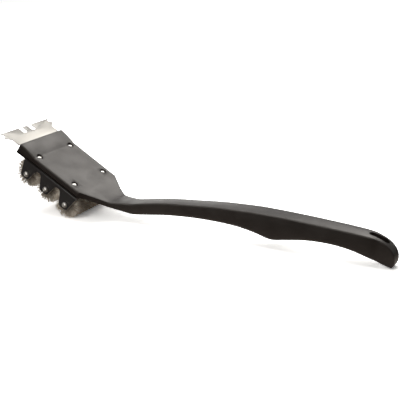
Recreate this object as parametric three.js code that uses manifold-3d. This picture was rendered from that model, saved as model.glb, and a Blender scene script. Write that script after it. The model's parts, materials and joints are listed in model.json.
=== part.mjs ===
// Grill cleaning brush: a one-piece black handle with a wide head, a flat scraper blade at its front,
// and three crosswise rolls of stainless bristles held in a lugged steel channel under the head.
// Millimetres. +X runs from the blade to the end of the grip, +Z is up, and the XZ plane is the
// plane of symmetry. The brush lies at rest on its rear roll and on the tail of its grip.
import * as THREE from "three";
import { mergeVertices } from "three/addons/utils/BufferGeometryUtils.js";
import Module from "manifold-3d";

const wasm = await Module();
wasm.setup();

// ---------------------------------------------------------------- driving dimensions

const GAP = 0.3; // clearance kept between pieces that touch

// The head has its own frame: x runs back along its flat top, n is square to it, and the origin is
// on the flat between the two front rivets.
const HEAD_PITCH = THREE.MathUtils.degToRad(29.2);
const HEAD_ORIGIN = { x: 1.0, z: 61.7 };
const HEAD_FRONT = -22.1; // front edge of the kicked-up ramp
const HEAD_REAR = 60.2; // corners where the head narrows into the neck
const FRONT_HALF = 34.2; // half the head's width at its front edge
const HEAD_TAPER = 1.4; // how much less that is at the rear
const REAR_HALF = FRONT_HALF - HEAD_TAPER;
const RAMP_START = -0.8;
const RAMP_RISE = 3.4;
const RAMP_CROWN = 0.6; // how far the ramp bulges above a straight line
const FRONT_LEAN = 1.3; // how far the front face slopes forward at its foot
const SKIRT_DEPTH = 6.0;
const PLATE = 3.0; // thickness of the head's top
const SKIRT_WALL = 2.4;
const EDGE_ROUND = 1.0; // rounding of the handle's top edges
const RIB = 1.6;

const NECK_HALF = 10.5;
const NECK_LENGTH = 47.75; // from the head's rear corners to the start of the grip
const GRIP_LENGTH = 273.1; // from there to the tip of the tail

const SLOT = { length: 19, width: 7.4, fromTail: 16.5 }; // hang slot in the tail

const TRAY = { thick: 2.0, front: HEAD_FRONT - FRONT_LEAN, rear: HEAD_REAR - 0.2, bossRadius: 4.4 };

const STEEL = 1.5; // sheet of the channel
const BEND = 1.2; // inside radius of its two bends
const CHANNEL_HALF = REAR_HALF - 1.8; // over the outer faces of its flanges
const ROLL = { first: HEAD_FRONT + 18.1, pitch: (HEAD_REAR - HEAD_FRONT) / 3, drop: 24.5, radius: 15.5 };
const LUG = { drop: 5.6, front: 6.6, rear: 3.4, round: 2.4 }; // lug tip around a roll's axis
const ARCH = { top: 13.6, half: 3.4 }; // crown of the arch between two lugs
const CHANNEL = { front: ROLL.first - 9.6, rear: HEAD_REAR };

const WIRE = { radius: 0.95, twistRadius: 1.15, lay: 15.6 }; // one stem wire and its helix
const BORE = 2.5; // hole in a flange, and the channel through a roll, that the stem passes
const CAP = { radius: 3.1, height: 2.6, wall: 0.6, rim: 0.7 };

const RIVET = { x: [0, HEAD_REAR - 11.5], fromEdge: 7.9, shank: 1.9, head: 2.7, headHeight: 1.2, tail: 2.8 };
const RECESS = { radius: 3.3, depth: 1.7 };

const BLADE = { thick: 0.8, tongueHalf: REAR_HALF - SKIRT_WALL - 0.8, rear: 9, reach: 22 };
const BLADE_ROOT = { x: HEAD_FRONT - FRONT_LEAN - 0.6, half: FRONT_HALF - 1.2 };
const FLARE = { from: 10, shoulder: 15.5, shoulderWider: 6.2, tipWider: 5 }; // of the blade's sides
const HOOK = { at: 18.6, radius: 2.3 }; // round hook in each side of the blade
const NOTCH = { width: 6.5, depth: 8.6, spacing: 13.8 };

// ---------------------------------------------------------------- geometry helpers

function closedGeometry(geometry) {
  const plain = geometry.clone();
  plain.deleteAttribute("normal");
  plain.deleteAttribute("uv");
  return mergeVertices(plain, 1e-4);
}

function solid(geometry) {
  const merged = closedGeometry(geometry);
  return new wasm.Manifold(
    new wasm.Mesh({
      numProp: 3,
      vertProperties: merged.attributes.position.array,
      triVerts: new Uint32Array(merged.index.array),
    }),
  );
}

function geometryOf(body) {
  const mesh = body.getMesh();
  const geometry = new THREE.BufferGeometry();
  geometry.setAttribute("position", new THREE.BufferAttribute(mesh.vertProperties, 3));
  geometry.setIndex(new THREE.BufferAttribute(mesh.triVerts, 1));
  return geometry;
}

const joined = (pieces) => pieces.reduce((whole, piece) => whole.add(piece));
const cut = (body, tools) => tools.reduce((rest, tool) => rest.subtract(tool), body);

// A shape drawn in (x, n) and extruded across the brush, from -half to +half in y.
function across(points, half) {
  const shape = points instanceof THREE.Shape ? points : new THREE.Shape(points);
  const settings = { depth: 2 * half, bevelEnabled: false, curveSegments: 10 };
  const geometry = new THREE.ExtrudeGeometry(shape, settings);
  geometry.rotateX(Math.PI / 2);
  geometry.translate(0, half, 0);
  return geometry;
}

// A shape drawn in (x, y) and extruded upwards from low to high.
function upwards(shape, low, high) {
  const settings = { depth: high - low, bevelEnabled: false, curveSegments: 10 };
  const geometry = new THREE.ExtrudeGeometry(shape, settings);
  geometry.translate(0, 0, low);
  return geometry;
}

// A round bar along n, between two heights of the head's frame.
function post(x, y, radius, low, high, sides = 20) {
  const geometry = new THREE.CylinderGeometry(radius, radius, high - low, sides);
  geometry.rotateX(Math.PI / 2);
  geometry.translate(x, y, (low + high) / 2);
  return geometry;
}

const point = (x, y) => new THREE.Vector2(x, y);
const mix = THREE.MathUtils.lerp;

// A point of the head's frame (x, n) in the frame of the brush.
function fromHead(x, n) {
  return point(
    HEAD_ORIGIN.x + x * Math.cos(HEAD_PITCH) + n * Math.sin(HEAD_PITCH),
    HEAD_ORIGIN.z - x * Math.sin(HEAD_PITCH) + n * Math.cos(HEAD_PITCH),
  );
}

function intoBrushFrame(geometry) {
  geometry.rotateY(HEAD_PITCH);
  geometry.translate(HEAD_ORIGIN.x, 0, HEAD_ORIGIN.z);
  return geometry;
}

// ---------------------------------------------------------------- shapes that several pieces share

// Height of the head's top over its flat: zero behind the ramp, and a shallow arc on it.
function headTop(x) {
  if (x >= RAMP_START) return 0;
  const share = (RAMP_START - x) / (RAMP_START - HEAD_FRONT);
  return RAMP_RISE * share + RAMP_CROWN * 4 * share * (1 - share);
}

function headHalf(x) {
  return mix(FRONT_HALF, REAR_HALF, (x - HEAD_FRONT) / (HEAD_REAR - HEAD_FRONT));
}

const rivetSpots = RIVET.x.flatMap((x, row) =>
  [-1, 1].map((side) => ({
    name: `${["front", "rear"][row]}_${side < 0 ? "left" : "right"}`,
    x,
    y: side * (headHalf(x) - RIVET.fromEdge),
    front: row === 0,
  })),
);

const rolls = ["front", "middle", "rear"].map((name, i) => ({
  name,
  x: ROLL.first + i * ROLL.pitch,
  n: -ROLL.drop,
}));

const PLATE_FOOT = -PLATE;
const TRAY_TOP = -SKIRT_DEPTH - GAP;
const TRAY_FOOT = TRAY_TOP - TRAY.thick;
const WEB_TOP = TRAY_FOOT - GAP;
const WEB_FOOT = WEB_TOP - STEEL;
const RIVET_SEAT = -RECESS.depth;

// Places on the ramp where the pieces under it bend.
const rampStations = [0, 0.24, 0.53].map((share) => mix(RAMP_START, HEAD_FRONT, share));

// Height of the blade's upper face in the head's frame.
function bladeTop(x) {
  return headTop(Math.max(x, HEAD_FRONT)) + PLATE_FOOT - GAP;
}

// ---------------------------------------------------------------- handle

// One cross-section of the handle: a box with rounded corners that stands between a top point and
// a foot point of the side view.
function section(top, foot, half, rounding) {
  const height = top.distanceTo(foot);
  const up = top.clone().sub(foot).normalize();
  const topRound = Math.min(EDGE_ROUND, height * 0.3);
  const footRound = Math.min(rounding, height * 0.45, half * 0.8);
  const ring = [];
  const corner = (cy, ch, radius, from, steps) => {
    for (let i = 0; i <= steps; i++) {
      const a = from + (i / steps) * (Math.PI / 2);
      const along = ch + radius * Math.sin(a);
      const out = cy + radius * Math.cos(a);
      ring.push(new THREE.Vector3(foot.x + up.x * along, out, foot.y + up.y * along));
    }
  };
  corner(half - topRound, height - topRound, topRound, 0, 3);
  corner(-half + topRound, height - topRound, topRound, Math.PI / 2, 3);
  corner(-half + footRound, footRound, footRound, Math.PI, 5);
  corner(half - footRound, footRound, footRound, 1.5 * Math.PI, 5);
  return ring;
}

// A closed skin over a row of rings that all have the same number of points.
function loft(rings) {
  const count = rings[0].length;
  const positions = [];
  const quad = (a, b, c, d) => positions.push(...[a, b, c, a, c, d].flatMap((p) => p.toArray()));
  for (let s = 0; s + 1 < rings.length; s++)
    for (let i = 0; i < count; i++) {
      const j = (i + 1) % count;
      quad(rings[s][i], rings[s][j], rings[s + 1][j], rings[s + 1][i]);
    }
  const cap = (ring, flip) => {
    const middle = ring.reduce((sum, p) => sum.add(p), new THREE.Vector3()).divideScalar(count);
    for (let i = 0; i < count; i++) {
      const pair = [ring[i], ring[(i + 1) % count]];
      if (flip) pair.reverse();
      positions.push(...[middle, ...pair].flatMap((p) => p.toArray()));
    }
  };
  cap(rings[0], true);
  cap(rings[rings.length - 1], false);
  const geometry = new THREE.BufferGeometry();
  geometry.setAttribute("position", new THREE.Float32BufferAttribute(positions, 3));
  return geometry;
}

// The neck's sections: past is a share of the neck's length, drop is how much of the fall from the
// head to the grip is left, lean is the section's tilt in degrees, and flare is how much of the
// head's extra width is left.
const NECK = [
  { past: 0.165, drop: 0.627, depth: 5.7, lean: 29, flare: 0.717, round: 0.8 },
  { past: 0.33, drop: 0.264, depth: 5.7, lean: 24, flare: 0.435, round: 1.2 },
  { past: 0.498, drop: -0.029, depth: 5.9, lean: 15, flare: 0.215, round: 2.0 },
  { past: 0.638, drop: -0.049, depth: 7.9, lean: 9, flare: 0.085, round: 2.5 },
  { past: 0.785, drop: -0.036, depth: 9.8, lean: 4, flare: 0.013, round: 3.0 },
];

// The grip's sections: at is a share of the grip's length.
const GRIP = [
  { at: 0.0, top: 20.0, depth: 11.8, half: 9.7, round: 3.5 },
  { at: 0.0575, top: 22.8, depth: 13.0, half: 9.2, round: 4.0 },
  { at: 0.1494, top: 26.7, depth: 13.4, half: 9.1, round: 4.0 },
  { at: 0.2593, top: 29.6, depth: 14.0, half: 9.3, round: 4.0 },
  { at: 0.3614, top: 32.0, depth: 16.0, half: 9.7, round: 4.0 },
  { at: 0.442, top: 32.9, depth: 18.2, half: 10.2, round: 4.5 },
  { at: 0.5075, top: 33.4, depth: 22.0, half: 10.4, round: 5.0 },
  { at: 0.5632, top: 33.2, depth: 25.5, half: 10.2, round: 5.0 },
  { at: 0.6177, top: 32.9, depth: 23.4, half: 9.9, round: 5.0 },
  { at: 0.6913, top: 32.0, depth: 19.2, half: 10.0, round: 5.0 },
  { at: 0.7719, top: 30.8, depth: 17.3, half: 9.9, round: 5.0 },
  { at: 0.8447, top: 29.6, depth: 18.2, half: 9.7, round: 5.0 },
  { at: 0.9114, top: 27.9, depth: 21.3, half: 9.3, round: 5.0 },
];

// The tail's sections, whose top edge turns down round the tip and whose foot touches the table:
// back and footBack are distances from the tip.
const TAIL = [
  { back: 15.2, top: 25.6, footBack: 17.9, footZ: 4.4, half: 8.0, round: 5.0 },
  { back: 10.0, top: 23.4, footBack: 13.9, footZ: 2.8, half: 7.6, round: 5.0 },
  { back: 6.1, top: 20.7, footBack: 10.9, footZ: 1.6, half: 7.3, round: 5.0 },
  { back: 3.0, top: 17.5, footBack: 8.4, footZ: 0.8, half: 7.1, round: 5.0 },
  { back: 1.0, top: 14.0, footBack: 6.6, footZ: 0.3, half: 6.9, round: 5.0 },
  { back: 0.0, top: 10.0, footBack: 5.2, footZ: 0.1, half: 6.8, round: 5.0 },
  { back: 0.0, top: 6.2, footBack: 4.2, footZ: 0.1, half: 6.7, round: 5.0 },
  { back: 1.0, top: 3.0, footBack: 3.5, footZ: 0.3, half: 6.5, round: 5.0 },
];

// The sections between the given ones, on smooth curves through them.
function smoothSections(rows, perSpan) {
  const keys = ["x", "top", "footX", "footZ", "half", "round"];
  const track = (key) => new THREE.SplineCurve(rows.map((row) => point(row.x, row[key])));
  const curves = keys.slice(1).map(track);
  const sections = [];
  const total = (rows.length - 1) * perSpan;
  for (let i = 0; i <= total; i++) {
    const t = i / total;
    const [top, footX, footZ, half, round] = curves.map((curve) => curve.getPoint(t).y);
    sections.push(section(point(curves[0].getPoint(t).x, top), point(footX, footZ), half, round));
  }
  return sections;
}

function headRow(x) {
  const top = fromHead(x, headTop(x));
  const foot = fromHead(x, -SKIRT_DEPTH);
  return { x: top.x, top: top.y, footX: foot.x, footZ: foot.y, half: headHalf(x), round: 0.6 };
}

function bodyRow(row) {
  const lean = THREE.MathUtils.degToRad(row.lean ?? 0);
  return {
    ...row,
    half: row.half ?? mix(NECK_HALF, REAR_HALF, row.flare),
    footX: row.x - row.depth * Math.sin(lean),
    footZ: row.top - row.depth * Math.cos(lean),
  };
}

const headEnd = fromHead(HEAD_REAR, 0);
const neckEnd = headEnd.x + NECK_LENGTH;
const tailX = neckEnd + GRIP_LENGTH;
const gripRows = GRIP.map((row) => bodyRow({ ...row, x: neckEnd + row.at * GRIP_LENGTH }));
const tailRows = TAIL.map((row) => ({ ...row, x: tailX - row.back, footX: tailX - row.footBack }));
const lowestRow = tailRows.reduce((lowest, row) => (row.footZ < lowest.footZ ? row : lowest));
const tailFoot = point(lowestRow.footX, lowestRow.footZ);
const neckRows = NECK.map((row) => {
  const x = headEnd.x + row.past * NECK_LENGTH;
  return bodyRow({ ...row, x, top: mix(GRIP[0].top, headEnd.y, row.drop) });
});

function handleBody() {
  const frontTop = fromHead(HEAD_FRONT, RAMP_RISE);
  const frontFoot = fromHead(HEAD_FRONT - FRONT_LEAN, -SKIRT_DEPTH);
  const ramp = [0.76, 0.53, 0.32, 0.14, 0].map((share) => headRow(mix(RAMP_START, HEAD_FRONT, share)));
  const head = [...ramp, headRow(4), headRow(HEAD_REAR)].map((row) =>
    section(point(row.x, row.top), point(row.footX, row.footZ), row.half, row.round),
  );
  const behind = [headRow(HEAD_REAR), ...neckRows, ...gripRows, ...tailRows];
  const rings = [
    section(frontTop, frontFoot, FRONT_HALF, 0.6),
    ...head,
    ...smoothSections(behind, 3).slice(1),
  ];
  return solid(loft(rings));
}

// The space under the head's top, open downwards.
function headCavity() {
  const front = HEAD_FRONT + SKIRT_WALL;
  const rear = HEAD_REAR - SKIRT_WALL;
  const roof = [rear, ...rampStations, front].map((x) => point(x, headTop(x) + PLATE_FOOT));
  const floor = [point(front - FRONT_LEAN, -SKIRT_DEPTH - 2), point(rear, -SKIRT_DEPTH - 2)];
  return solid(intoBrushFrame(across([...roof, ...floor], REAR_HALF - SKIRT_WALL)));
}

// The slit in the head's front wall that the blade comes out of.
function bladeSlit() {
  const low = (x) => bladeTop(x) - BLADE.thick - GAP;
  const inner = HEAD_FRONT + SKIRT_WALL + 1;
  const outer = HEAD_FRONT - 3;
  const outline = [
    point(outer, low(outer)),
    point(inner, low(inner)),
    point(inner, headTop(inner) + PLATE_FOOT),
    point(outer, bladeTop(outer) + GAP),
  ];
  return solid(intoBrushFrame(across(outline, BLADE.tongueHalf + GAP)));
}

function headRibs() {
  const from = BLADE.rear + 4;
  const to = HEAD_REAR - SKIRT_WALL + 0.5;
  const foot = -SKIRT_DEPTH + 0.4;
  return [-12, 0, 12].map((y) => {
    const rib = new THREE.BoxGeometry(to - from, RIB, PLATE_FOOT + 0.5 - foot);
    rib.translate((from + to) / 2, y, (PLATE_FOOT + 0.5 + foot) / 2);
    return solid(intoBrushFrame(rib));
  });
}

function hangSlot() {
  const half = SLOT.length / 2 - SLOT.width / 2;
  const centre = tailX - SLOT.fromTail;
  const shape = new THREE.Shape();
  shape.absarc(centre + half, 0, SLOT.width / 2, -Math.PI / 2, Math.PI / 2, false);
  shape.absarc(centre - half, 0, SLOT.width / 2, Math.PI / 2, 1.5 * Math.PI, false);
  return solid(upwards(shape, -20, 60));
}

function handle() {
  const hollow = cut(handleBody(), [headCavity(), bladeSlit()]);
  const ribbed = joined([hollow, ...headRibs()]);
  const rivetHoles = rivetSpots.flatMap(({ x, y }) => [
    solid(intoBrushFrame(post(x, y, RECESS.radius, RIVET_SEAT, 4, 24))),
    solid(intoBrushFrame(post(x, y, RIVET.shank + GAP, -8, 1))),
  ]);
  return geometryOf(cut(ribbed, [...rivetHoles, hangSlot()]));
}

// ---------------------------------------------------------------- scraper blade

// The blade's plan: a tongue inside the head, a flared front with a hook in each side, and two
// notches in its edge that fit over the bars of a grate.
function bladePlan() {
  const root = BLADE_ROOT.x;
  const front = root - BLADE.reach;
  const shoulderHalf = BLADE_ROOT.half + FLARE.shoulderWider;
  const tipHalf = BLADE_ROOT.half + FLARE.tipWider;
  const side = [
    [BLADE.rear, BLADE.tongueHalf],
    [root, BLADE.tongueHalf],
    [root, BLADE_ROOT.half],
    [root - FLARE.from, BLADE_ROOT.half],
    [root - FLARE.shoulder + 1.4, shoulderHalf - 0.6],
    [root - FLARE.shoulder, shoulderHalf],
  ];
  const hook = [];
  const hookCentre = point(root - HOOK.at, tipHalf);
  for (let i = 0; i <= 6; i++) {
    const a = (i / 6) * Math.PI;
    hook.push([hookCentre.x + HOOK.radius * Math.cos(a), hookCentre.y - HOOK.radius * Math.sin(a)]);
  }
  const half = [...side, ...hook, [front, tipHalf]];
  const corner = 1.5;
  const deep = front + NOTCH.depth;
  const notches = [NOTCH.spacing / 2, -NOTCH.spacing / 2].flatMap((middle) => {
    const high = middle + NOTCH.width / 2;
    const low = middle - NOTCH.width / 2;
    const highSide = [[front, high], [deep - corner, high], [deep, high - corner]];
    const lowSide = [[deep, low + corner], [deep - corner, low], [front, low]];
    return [...highSide, ...lowSide];
  });
  const others = half.map(([x, y]) => [x, -y]).reverse();
  return [...half, ...notches, ...others].map(([x, y]) => point(x, y));
}

// The blade's side view: flat under the head's top, raised with the ramp, and flat again outside.
function bladeProfile() {
  const front = BLADE_ROOT.x - BLADE.reach - 1;
  const stations = [BLADE.rear + 1, ...rampStations, HEAD_FRONT, front];
  const top = stations.map((x) => point(x, bladeTop(x)));
  const foot = stations.map((x) => point(x, bladeTop(x) - BLADE.thick)).reverse();
  return [...top, ...foot];
}

function scraperBlade() {
  const sheet = solid(across(bladeProfile(), 2 * FRONT_HALF));
  const plan = solid(upwards(new THREE.Shape(bladePlan()), -30, 30));
  const frontSpots = rivetSpots.filter((spot) => spot.front);
  const holes = frontSpots.map(({ x, y }) => solid(post(x, y, RIVET.shank + GAP, -9, 1)));
  return geometryOf(cut(sheet.intersect(plan), holes));
}

// ---------------------------------------------------------------- brush tray

function brushTray() {
  const outline = new THREE.Shape([
    point(TRAY.front, headHalf(TRAY.front)),
    point(TRAY.front, -headHalf(TRAY.front)),
    point(TRAY.rear, -headHalf(TRAY.rear)),
    point(TRAY.rear, headHalf(TRAY.rear)),
  ]);
  const plate = solid(upwards(outline, TRAY_FOOT, TRAY_TOP));
  const bosses = rivetSpots.map(({ x, y, front }) => {
    const top = front ? bladeTop(x) - BLADE.thick - GAP : PLATE_FOOT - GAP;
    return solid(post(x, y, TRAY.bossRadius, TRAY_FOOT + 0.5, top));
  });
  const holes = rivetSpots.map(({ x, y }) => solid(post(x, y, RIVET.shank + GAP, -12, 1)));
  return geometryOf(cut(joined([plate, ...bosses]), holes));
}

// ---------------------------------------------------------------- channel that holds the rolls

// The channel's section, seen along the brush: a web with two bent flanges.
function channelSection() {
  const outer = CHANNEL_HALF;
  const inner = CHANNEL_HALF - STEEL;
  const foot = -ROLL.drop - LUG.drop - 1;
  const bendOuter = BEND + STEEL;
  const shape = new THREE.Shape();
  shape.moveTo(outer, foot);
  shape.lineTo(outer, WEB_TOP - bendOuter);
  shape.absarc(outer - bendOuter, WEB_TOP - bendOuter, bendOuter, 0, Math.PI / 2, false);
  shape.lineTo(-outer + bendOuter, WEB_TOP);
  shape.absarc(-outer + bendOuter, WEB_TOP - bendOuter, bendOuter, Math.PI / 2, Math.PI, false);
  shape.lineTo(-outer, foot);
  shape.lineTo(-inner, foot);
  shape.absarc(-inner + BEND, WEB_FOOT - BEND, BEND, Math.PI, Math.PI / 2, true);
  shape.absarc(inner - BEND, WEB_FOOT - BEND, BEND, Math.PI / 2, 0, true);
  shape.lineTo(inner, foot);
  return shape;
}

// The side view of a flange: three lugs with rounded tips, and an arch between each two.
function lugOutline() {
  const tip = -ROLL.drop - LUG.drop;
  const shape = new THREE.Shape();
  shape.moveTo(CHANNEL.front, WEB_TOP + 1);
  rolls.forEach((roll, i) => {
    const front = roll.x - LUG.front;
    const rear = roll.x + LUG.rear;
    shape.lineTo(front - (i === 0 ? 0.3 : 1.0), tip + LUG.round);
    shape.quadraticCurveTo(front, tip, front + LUG.round, tip);
    shape.lineTo(rear - LUG.round, tip);
    shape.quadraticCurveTo(rear, tip, rear + 0.9, tip + LUG.round);
    if (i < rolls.length - 1) {
      const crown = roll.x + ROLL.pitch / 2 - 1.2;
      const spring = -ARCH.top - ARCH.half;
      shape.lineTo(crown - ARCH.half - 0.8, spring);
      shape.quadraticCurveTo(crown - ARCH.half + 0.6, -ARCH.top, crown, -ARCH.top);
      shape.quadraticCurveTo(crown + ARCH.half - 0.6, -ARCH.top, crown + ARCH.half + 0.8, spring);
    }
  });
  shape.lineTo(CHANNEL.rear, WEB_TOP - 2);
  shape.lineTo(CHANNEL.rear, WEB_TOP + 1);
  return shape;
}

function rollBracket() {
  const bent = new THREE.ExtrudeGeometry(channelSection(), {
    depth: CHANNEL.rear - CHANNEL.front,
    bevelEnabled: false,
    curveSegments: 5,
  });
  bent.rotateX(Math.PI / 2);
  bent.rotateZ(Math.PI / 2);
  bent.translate(CHANNEL.front, 0, 0);
  const lugs = across(lugOutline(), CHANNEL_HALF + 1);
  const stemHoles = rolls.map(({ x, n }) => {
    const bar = new THREE.CylinderGeometry(BORE, BORE, 2 * CHANNEL_HALF + 4, 20);
    bar.translate(x, 0, n);
    return solid(bar);
  });
  const rivetHoles = rivetSpots.map(({ x, y }) =>
    solid(post(x, y, RIVET.shank + GAP, WEB_FOOT - 2, WEB_TOP + 2)),
  );
  return geometryOf(cut(solid(bent).intersect(solid(lugs)), [...stemHoles, ...rivetHoles]));
}

// ---------------------------------------------------------------- rolls

const CAP_DEPTH = CAP.height - CAP.wall - 0.9; // depth of a cap's bore at its wall
const STEM_HALF = CHANNEL_HALF + CAP_DEPTH; // half the length of a stem
const BUNDLE_HALF = CHANNEL_HALF - STEEL - GAP;
const BUNDLE_TOP = WEB_FOOT - 1.4; // clear of the rivets' tails

// The envelope of one roll's bristles: a thick tube, flattened where it meets its neighbours and
// the web of the channel.
function bristleBundle(roll, index) {
  const side = ROLL.pitch / 2 - GAP / 2;
  const low = index === 0 ? -Infinity : -side;
  const high = index === rolls.length - 1 ? Infinity : side;
  const ceiling = BUNDLE_TOP - roll.n;
  const outline = [];
  const steps = 40;
  for (let i = 0; i < steps; i++) {
    const a = (2 * Math.PI * i) / steps;
    const x = THREE.MathUtils.clamp(ROLL.radius * Math.cos(a), low, high);
    outline.push(point(roll.x + x, roll.n + Math.min(ROLL.radius * Math.sin(a), ceiling)));
  }
  const shape = new THREE.Shape(outline);
  const bore = new THREE.Path();
  bore.absarc(roll.x, roll.n, BORE, 0, 2 * Math.PI, true);
  shape.holes.push(bore);
  return across(shape, BUNDLE_HALF);
}

// The path of one stem wire: a helix round the roll's axis.
class StemHelix extends THREE.Curve {
  constructor(roll, phase) {
    super();
    this.roll = roll;
    this.phase = phase;
  }
  getPoint(t, target = new THREE.Vector3()) {
    const y = mix(-STEM_HALF, STEM_HALF, t);
    const a = this.phase + (2 * Math.PI * y) / WIRE.lay;
    return target.set(
      this.roll.x + WIRE.twistRadius * Math.cos(a),
      y,
      this.roll.n + WIRE.twistRadius * Math.sin(a),
    );
  }
}

function stemWire(roll, phase) {
  const sides = 5;
  const outline = [];
  for (let i = 0; i < sides; i++) {
    const a = (2 * Math.PI * i) / sides;
    outline.push(point(WIRE.radius * Math.cos(a), WIRE.radius * Math.sin(a)));
  }
  return new THREE.ExtrudeGeometry(new THREE.Shape(outline), {
    steps: 32,
    bevelEnabled: false,
    extrudePath: new StemHelix(roll, phase),
  });
}

// A domed cap over the end of a stem, with a small dimple where it was pressed on.
function endCap(roll, side) {
  const { radius, height, wall, rim } = CAP;
  const bore = BORE;
  const profile = [
    [bore, 0],
    [radius, 0],
    [radius, rim],
    [radius * 0.9, height * 0.56],
    [radius * 0.66, height * 0.84],
    [radius * 0.36, height],
    [radius * 0.22, height * 0.93],
    [0, height * 0.9],
    [0, height - wall - 0.25],
    [bore, CAP_DEPTH],
  ].map(([r, h]) => point(r, h));
  profile.push(profile[0].clone());
  const geometry = new THREE.LatheGeometry(profile, 14);
  geometry.rotateX(side < 0 ? Math.PI : 0);
  geometry.translate(roll.x, side * (CHANNEL_HALF + GAP), roll.n);
  return geometry;
}

// ---------------------------------------------------------------- rivets

// A domed head in its recess, a shank through the whole stack, and a rolled tail under the web.
function rivet({ x, y }) {
  const seat = RIVET_SEAT + GAP;
  const tailTop = WEB_FOOT - GAP;
  const profile = [
    [0, tailTop - 0.7],
    [RIVET.tail - 0.4, tailTop - 0.7],
    [RIVET.tail, tailTop - 0.35],
    [RIVET.tail, tailTop],
    [RIVET.shank, tailTop],
    [RIVET.shank, seat],
    [RIVET.head, seat],
    [RIVET.head, seat + RIVET.headHeight * 0.3],
    [RIVET.head * 0.8, seat + RIVET.headHeight * 0.72],
    [RIVET.head * 0.45, seat + RIVET.headHeight * 0.95],
    [0, seat + RIVET.headHeight],
  ].map(([r, h]) => point(r, h));
  const geometry = new THREE.LatheGeometry(profile, 16);
  geometry.rotateX(Math.PI / 2);
  geometry.translate(x, y, 0);
  return geometry;
}

// ---------------------------------------------------------------- materials

const finish = (color, roughness, metalness) =>
  new THREE.MeshStandardMaterial({ color, roughness, metalness });
const blackPlastic = () => finish(0x1d1b1a, 0.42, 0);
const trayPlastic = () => finish(0x1a1918, 0.5, 0);
const coatedSteel = () => finish(0x1e1e20, 0.4, 0.3);
const bladeSteel = () => finish(0xd6d2c9, 0.28, 1);
const bristleSteel = () => finish(0x9c8f80, 0.45, 0.9);
const wireSteel = () => finish(0x8f8c86, 0.4, 1);
const brightSteel = () => finish(0xcfccc6, 0.22, 1);

// ---------------------------------------------------------------- assembly

function named(name, geometry, material) {
  const mesh = new THREE.Mesh(geometry, material);
  mesh.name = name;
  return mesh;
}

const head = new THREE.Group();
head.position.set(HEAD_ORIGIN.x, 0, HEAD_ORIGIN.z);
head.rotation.y = HEAD_PITCH;
head.add(named("scraper_blade", scraperBlade(), bladeSteel()));
head.add(named("brush_tray", brushTray(), trayPlastic()));
head.add(named("roll_bracket", rollBracket(), coatedSteel()));
for (const spot of rivetSpots) head.add(named(`rivet_${spot.name}`, rivet(spot), brightSteel()));
rolls.forEach((roll, index) => {
  head.add(named(`bristle_roll_${roll.name}`, bristleBundle(roll, index), bristleSteel()));
  head.add(named(`stem_wire_${roll.name}_a`, stemWire(roll, 0), wireSteel()));
  head.add(named(`stem_wire_${roll.name}_b`, stemWire(roll, Math.PI), wireSteel()));
  head.add(named(`end_cap_${roll.name}_left`, endCap(roll, -1), brightSteel()));
  head.add(named(`end_cap_${roll.name}_right`, endCap(roll, 1), brightSteel()));
});

const brush = new THREE.Group();
brush.add(head);
brush.add(named("handle", handle(), blackPlastic()));

// The brush lies on the underside of its rear roll and the foot of its tail, so the line that
// touches both is turned level.
const rearRoll = rolls[rolls.length - 1];
const rollCentre = fromHead(rearRoll.x, rearRoll.n);
const between = tailFoot.clone().sub(rollCentre);
const slope = Math.atan2(between.y, between.x) + Math.asin(ROLL.radius / between.length());
brush.rotation.y = slope;

// The origin is at the middle of the footprint, on the surface that the brush lies on.
brush.updateMatrixWorld(true);
const extent = new THREE.Box3().setFromObject(brush, true);
brush.position.set(-(extent.min.x + extent.max.x) / 2, -(extent.min.y + extent.max.y) / 2, -extent.min.z);

const part = new THREE.Group();
part.add(brush);

export default part;
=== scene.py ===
"""Looks of a grill cleaning brush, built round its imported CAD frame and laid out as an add-on.

Everything is in metres in the part's own frame. Shapes of the head are drawn in the head's frame:
x runs back along the flat top, y across it, and n is square to it.
"""

import json
import math

import bmesh
import bpy
import numpy as np
from mathutils import Matrix, Vector


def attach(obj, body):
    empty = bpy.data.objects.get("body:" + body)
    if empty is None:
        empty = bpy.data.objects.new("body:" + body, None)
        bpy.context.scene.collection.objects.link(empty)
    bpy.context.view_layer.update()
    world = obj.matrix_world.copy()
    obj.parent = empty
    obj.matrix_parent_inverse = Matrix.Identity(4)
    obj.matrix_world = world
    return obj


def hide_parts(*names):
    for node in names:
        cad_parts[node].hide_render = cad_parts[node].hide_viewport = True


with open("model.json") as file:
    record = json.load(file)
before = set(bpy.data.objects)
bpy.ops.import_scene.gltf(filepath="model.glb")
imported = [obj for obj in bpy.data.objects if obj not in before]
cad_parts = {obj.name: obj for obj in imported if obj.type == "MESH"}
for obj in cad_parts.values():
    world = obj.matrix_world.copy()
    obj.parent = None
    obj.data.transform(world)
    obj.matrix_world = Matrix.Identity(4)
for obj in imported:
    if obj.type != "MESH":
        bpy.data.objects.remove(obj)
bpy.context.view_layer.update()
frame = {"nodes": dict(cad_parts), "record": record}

bl_info = {
    "name": "Grill Brush",
    "version": (1, 0, 0),
    "blender": (4, 5, 0),
    "location": "3D View > Sidebar > Brush",
    "description": "Builds the visible pieces of a grill cleaning brush round its frame",
    "category": "Object",
}

MM = 0.001
PER_METRE = 1000
SEED = 11

# ---------------- frames

HEAD_PITCH = math.radians(29.2)  # in the handle's own side view
HEAD_ORIGIN = (1.0, 61.7)
MOUNT_X = 24.0  # where the flat-face mount stands on the head's flat


def head_matrix():
    """The head's frame in the part's frame, from the mount on its flat top."""
    mount = frame["record"]["mounts"][0]
    up = Vector(mount["axis"]).normalized()
    across = Vector((0.0, 1.0, 0.0))
    back = across.cross(up)
    origin = Vector(mount["pos_m"]) - back * MOUNT_X * MM
    rows = [[back[i], across[i], up[i], origin[i]] for i in range(3)]
    return Matrix(rows + [[0.0, 0.0, 0.0, 1.0]])


HEAD = head_matrix()


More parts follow.
